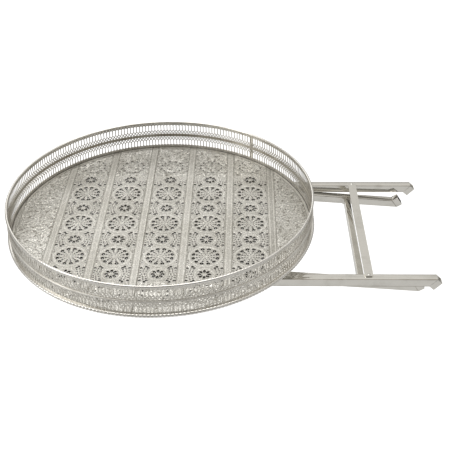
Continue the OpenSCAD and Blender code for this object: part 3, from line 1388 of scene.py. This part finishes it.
@dataclass
class GalleryTrim:
    """The milled rim, the half-round rail, the beaded foot ring and the seam strap."""

    shop: Workshop
    rim_material: bpy.types.Material
    rail_material: bpy.types.Material
    beads: int = CELLS
    sheet_in: float = WALL_IN
    sheet_out: float = WALL_OUT
    milling: float = 0.22
    foot_radius: float = 3.0
    bead_depth: float = 1.3

    def scalloped(
        self, bm: bmesh.types.BMesh, middle: Point, depth: float, count: int
    ) -> None:
        """Mill a ring's section in and out along its length.

        Args:
            bm: The ring.
            middle: The section's middle as (radius, z).
            depth: How deep the milling is.
            count: How many scallops go round.
        """
        for vert in bm.verts:
            bearing = math.atan2(vert.co.y, vert.co.x)
            reach = math.hypot(vert.co.x, vert.co.y)
            out = Vector((reach - middle[0], vert.co.z - middle[1]))
            if out.length < 1e-6:
                continue
            shrink = 1 - depth / out.length * (0.5 - 0.5 * math.cos(bearing * count))
            reach = middle[0] + out.x * shrink
            vert.co = (
                reach * math.cos(bearing),
                reach * math.sin(bearing),
                middle[1] + out.y * shrink,
            )

    def rim(self) -> bpy.types.Object:
        """Roll the rim and mill it all along.

        Returns:
            The piece.
        """
        middle, radius = (297.4, 62.4), 2.6
        bm = lathed(arc(middle, radius, 0, 330, 11), self.beads * 4)
        self.scalloped(bm, middle, self.milling, self.beads)
        return self.shop.piece(
            bm, "milled_rim", Body.TRAY, Slot.TRIM, self.rim_material, ["top_rim"], 60.0
        )

    def rail(self) -> bpy.types.Object:
        """Turn the half-round rail between the tiers, with a fine step each side.

        Returns:
            The piece.
        """
        low, high, middle = 28.35, 32.75, 30.55
        profile = [(self.sheet_in, high), (self.sheet_in, low)]
        profile += [(self.sheet_out + 0.35, low), (self.sheet_out + 0.35, low + 0.4)]
        profile += arc((self.sheet_out + 0.3, middle), 1.75, -80, 80, 8)
        profile += [(self.sheet_out + 0.35, high - 0.4), (self.sheet_out + 0.35, high)]
        bm = lathed(profile, 288)
        return self.shop.piece(
            bm, "half_round_rail", Body.TRAY, Slot.TRIM, self.rail_material, ["mid_rail"]
        )

    def foot(self) -> bpy.types.Object:
        """Turn the foot ring, with its half-round cut into beads.

        Returns:
            The piece.
        """
        middle = (self.sheet_out + 2.4, 1.0)
        profile = [(self.sheet_out, 4.0), (self.sheet_out, -2.0)]
        profile += arc(middle, self.foot_radius, -90, 90, 9)
        bm = lathed(profile, self.beads * 4)
        for vert in bm.verts:
            bearing = math.atan2(vert.co.y, vert.co.x)
            reach = math.hypot(vert.co.x, vert.co.y)
            proud = max(0.0, reach - middle[0]) / self.foot_radius
            reach -= proud * self.bead_depth * (0.5 - 0.5 * math.cos(bearing * self.beads))
            vert.co.x = reach * math.cos(bearing)
            vert.co.y = reach * math.sin(bearing)
        return self.shop.piece(
            bm, "beaded_foot_ring", Body.TRAY, Slot.TRIM, self.rim_material, ["foot_ring"], 60.0
        )

    def build(self) -> None:
        """Make the three rings and dress the seam."""
        self.rim()
        self.rail()
        self.foot()
        self.shop.dress(["seam_strap"], self.rim_material)


# ---------------------------------------------------------------- stand and underside


@dataclass(frozen=True)
class Softened:
    """A part of the frame that is shown as a copy with its edges rounded."""

    node: str
    piece: str
    width: float
    least_edge: float = 0.0


@dataclass
class Stand:
    """The two crossed frames of square tube, their toes, crossbars and pivots."""

    shop: Workshop
    tube: bpy.types.Material
    legs: dict[Body, bpy.types.Material]
    fastener: bpy.types.Material
    socket: bpy.types.Material
    lip: float = 2.2
    sunk: float = 1.3

    def parts(self) -> dict[Body, list[Softened]]:
        """List the rounded parts of each frame.

        Returns:
            The parts, by the body that they ride on.
        """
        made: dict[Body, list[Softened]] = {}
        for body, frame, brace in ((Body.INNER, "inner", 0.9), (Body.OUTER, "outer", 0.5)):
            legs = [Softened(f"{frame}_leg_{end}", f"{frame}_tube_{end}", 1.5) for end in ENDS]
            bar = Softened(f"{frame}_crossbar", f"{frame}_brace", brace, 2.0)
            toes = [
                Softened(f"{frame}_toe_{end}", f"{frame}_ferrule_{end}", 0.8, 1.0) for end in ENDS
            ]
            made[body] = [*legs, bar, *toes]
        return made

    def recess(self, bm: bmesh.types.BMesh) -> None:
        """Sink a panel into a ferrule's upper end, behind a narrow lip, to take painted shade.

        Args:
            bm: The ferrule in millimetres.
        """
        bm.normal_update()
        upper = [face for face in bm.faces if face.normal.x > 0.5 and face.normal.z > 0.5]
        if not upper:
            return
        face = max(upper, key=lambda each: each.calc_area())
        bmesh.ops.inset_individual(bm, faces=[face], thickness=self.lip, use_even_offset=True)
        bmesh.ops.inset_individual(bm, faces=[face], thickness=0.2, depth=-self.sunk)
        # the sunk panel takes the second, dark material as painted shade in the tube's open end
        face.material_index = 1

    def build(self) -> None:
        """Round the tubes, recess the ferrules and dress what stays plain."""
        for body, parts in self.parts().items():
            for part in parts:
                bm = self.shop.softened(
                    part.node, part.width, part.least_edge, [HINGE, PIVOT, ROD]
                )
                ferrule = "ferrule" in part.piece
                if ferrule:
                    self.recess(bm)
                metal = self.legs[body] if "_tube_" in part.piece else self.tube
                obj = self.shop.piece(bm, part.piece, body, Slot.TUBE, metal, [part.node])
                if ferrule:
                    # the dark socket material: painted shade on the sunk panel
                    obj.data.materials.append(self.socket)
        self.shop.dress(["outer_top_rod"], self.tube)
        self.shop.dress(
            [
                "outer_crossbar_rivets",
                "pivot_pin_near",
                "pivot_pin_far",
                "pivot_washer_near",
                "pivot_washer_far",
            ],
            self.fastener,
        )


@dataclass
class UnderTray:
    """The battens, hinge brackets and catches riveted under the floor."""

    shop: Workshop
    iron: bpy.types.Material
    fastener: bpy.types.Material

    def build(self) -> None:
        """Round the strips and dress the rivets and pins."""
        parts = [
            Softened("hinge_batten", "hinge_strip", 0.6, 3.0),
            Softened("catch_batten", "catch_strip", 0.6, 3.0),
            Softened("hinge_bracket_near", "hinge_ear_near", 0.4, 2.0),
            Softened("hinge_bracket_far", "hinge_ear_far", 0.4, 2.0),
            Softened("catch_clip_near", "catch_seat_near", 0.3, 1.0),
            Softened("catch_clip_far", "catch_seat_far", 0.3, 1.0),
        ]
        for part in parts:
            bm = self.shop.softened(part.node, part.width, part.least_edge, [HINGE])
            self.shop.piece(bm, part.piece, Body.TRAY, Slot.IRON, self.iron, [part.node])
        self.shop.dress(
            ["hinge_pin_near", "hinge_pin_far", "batten_rivets", "bracket_rivets", "clip_rivets"],
            self.fastener,
        )


# ---------------------------------------------------------------- studio


@dataclass
class Studio:
    """A pale floor where the opened table stands, soft lights and the camera.

    ``eye`` is the camera's place, and ``lens`` its focal length in millimetres. ``paper_seen`` is
    the floor's glow to the camera, and ``paper_glow`` to the table. ``dark_front`` is (where the
    shade starts, where it ends, how dark it is) along Y, and ``room`` the light at each height.
    """

    eye: tuple[float, float, float] = (0.1649, -1.4460, 0.9703)
    yaw: float = -1.485
    pitch: float = 34.29
    roll: float = -0.726
    lens: float = 69.44
    level: float = -0.376
    paper_seen: float = 0.86
    paper_glow: float = 0.28
    dark_front: tuple[float, float, float] = (-0.8, -0.3, 0.38)
    room: tuple[Point, ...] = (
        (0.0, 0.2),
        (0.5, 0.05),
        (0.56, 0.16),
        (0.64, 0.58),
        (0.8, 0.72),
        (1.0, 0.8),
    )

    def floor(self) -> None:
        """A wide pale sheet at the level of the opened table's feet."""
        bm = bmesh.new()
        bmesh.ops.create_grid(bm, x_segments=1, y_segments=1, size=6.0)
        bmesh.ops.translate(bm, vec=(0, 0, self.level), verts=bm.verts[:])
        mesh = bpy.data.meshes.new("studio_floor")
        bm.to_mesh(mesh)
        bm.free()
        obj = bpy.data.objects.new("studio_floor", mesh)
        bpy.context.scene.collection.objects.link(obj)
        bench = Bench("pale_paper")
        glow = bench.blend(bench.seen(), (self.paper_glow,) * 3, (self.paper_seen,) * 3)
        shader = bench.node(
            "ShaderNodeBsdfPrincipled",
            None,
            {
                "Base Color": (0.42, 0.42, 0.42),
                "Roughness": 0.95,
                "Emission Color": glow,
                "Emission Strength": 1.0,
            },
        )
        bench.node("ShaderNodeOutputMaterial", None, {"Surface": shader.outputs[0]})
        mesh.materials.append(bench.owner)

    def world(self) -> None:
        """A pale room: a dark skirting, lit walls, a bright ceiling and a dark side in front."""
        bench = Bench("pale_room", "worlds")
        bpy.context.scene.world = bench.owner
        split = bench.node("ShaderNodeSeparateXYZ", None, {0: bench.places["Generated"]})
        _, along, height = (Wire(bench, socket) for socket in split.outputs)
        stops = [(at, (level, level * 0.985, level * 0.95)) for at, level in self.room]
        walls = bench.node("ShaderNodeValToRGB", {"stops": stops}, {0: height * 0.5 + 0.5})
        low, high, darkest = self.dark_front
        shade = bench.node(
            "ShaderNodeMix",
            {"data_type": "RGBA", "blend_type": "MULTIPLY"},
            {0: 1.0, 6: walls.outputs[0], 7: along.ease(low, high, (darkest, 1.0))},
        )
        light = bench.blend(bench.seen(), shade.outputs[2], (1.0, 1.0, 1.0))
        background = bench.node("ShaderNodeBackground", None, {0: light})
        bench.node("ShaderNodeOutputWorld", None, {0: background.outputs[0]})

    def lamp(self, name: str, place: Sequence[float], size: Point, power: float) -> None:
        """Hang a soft rectangular light that faces the table.

        Args:
            name: Its name.
            place: Where it hangs.
            size: Its width and height.
            power: Its power in watts.
        """
        data = bpy.data.lights.new(name, "AREA")
        data.shape = "RECTANGLE"
        data.size, data.size_y = size
        data.energy = power
        obj = bpy.data.objects.new(name, data)
        bpy.context.scene.collection.objects.link(obj)
        obj.location = place
        obj.rotation_euler = (-Vector(place)).to_track_quat("-Z", "Y").to_euler()

    def camera(self) -> None:
        """The camera, at the viewing angle that suits the table."""
        yaw, pitch, roll = (math.radians(a) for a in (self.yaw, self.pitch, self.roll))
        ahead = Vector(
            (math.sin(yaw) * math.cos(pitch), math.cos(yaw) * math.cos(pitch), -math.sin(pitch))
        )
        right = Vector((math.cos(yaw), -math.sin(yaw), 0.0))
        above = right.cross(ahead)
        turned = right * math.cos(roll) + above * math.sin(roll)
        upright = above * math.cos(roll) - right * math.sin(roll)
        data = bpy.data.cameras.new("camera")
        data.lens = self.lens
        data.sensor_width = 36.0
        data.clip_start, data.clip_end = 0.05, 50.0
        obj = bpy.data.objects.new("camera", data)
        bpy.context.scene.collection.objects.link(obj)
        turn = Matrix((turned, upright, -ahead)).transposed()
        obj.matrix_world = Matrix.Translation(self.eye) @ turn.to_4x4()
        bpy.context.scene.camera = obj

    def build(self) -> None:
        """Set the floor, the room, the lights and the camera."""
        self.floor()
        self.world()
        self.lamp("overhead", (-0.2, 0.3, 1.7), (1.6, 1.2), 10.5)
        self.lamp("left_window", (-1.5, -0.6, 0.9), (1.0, 1.0), 7.0)
        self.lamp("back_sheet", (-0.5, 1.8, 0.9), (1.5, 1.0), 3.8)
        self.camera()
        bpy.context.scene.view_settings.view_transform = "Standard"


# ---------------------------------------------------------------- main


def main(frame: dict[str, Any]) -> None:
    """Build the tray, the stand and the studio, in order.
    """
    shop = Workshop(frame)
    layout = FloorLayout()
    chased = ChasedFinish(
        "chased_plate",
        bright=(0.93, 0.915, 0.87),
        dull=(0.80, 0.775, 0.71),
        ground=(0.17, 0.155, 0.12),
        painted_shade=(0.035, 0.032, 0.026),
        layout=layout,
    ).made()
    pierced = PiercedFinish(
        "pierced_plate", bright=(0.80, 0.78, 0.73), dull=(0.34, 0.31, 0.26)
    ).made()
    trim = PlateFinish(
        "bright_trim",
        bright=(0.86, 0.84, 0.80),
        dull=(0.60, 0.57, 0.51),
        roughness=0.16,
        scratch=0.12,
        grain=0.10,
    ).made()
    # the rail's dark dull colour also serves as the painted shade on its inner face
    rail = PlateFinish(
        "rail_trim",
        bright=(0.84, 0.82, 0.77),
        dull=(0.38, 0.34, 0.28),
        roughness=0.3,
        scratch=0.12,
        grain=0.10,
        shade_within=297.2,
    ).made()
    tube = TubeFinish(
        "polished_tube",
        bright=(0.80, 0.78, 0.73),
        dull=(0.58, 0.56, 0.51),
        reflection_and_pit_brown=(0.24, 0.20, 0.15),
        roughness=0.07,
    )
    legs = {
        Body.INNER: replace(tube, name="inner_leg_tube", leg_y=145.5, slope=0.0787).made(),
        Body.OUTER: replace(tube, name="outer_leg_tube", leg_y=164.0).made(),
    }
    iron = IronFinish(
        "strip_iron",
        bright=(0.42, 0.41, 0.38),
        dull=(0.26, 0.25, 0.23),
        rust=(0.16, 0.11, 0.07),
        roughness=0.42,
    ).made()
    rivet = IronFinish(
        "rivet_steel",
        bright=(0.70, 0.69, 0.65),
        dull=(0.50, 0.48, 0.44),
        rust=(0.24, 0.17, 0.11),
        roughness=0.25,
    ).made()

    TrayFloor(shop, chased, layout).build()
    for tier in Tier:
        Gallery(shop, pierced, tier).build()
    GalleryTrim(shop, trim, rail).build()
    # the ferrules' sunk panels take the dark strip iron, painted shade inside their ends
    Stand(shop, tube.made(), legs, rivet, iron).build()
    UnderTray(shop, iron, rivet).build()
    Studio().build()


if __name__ == "__main__":
    logging.basicConfig(level=logging.INFO, format="%(name)s %(message)s")
    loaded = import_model()
    main(loaded)
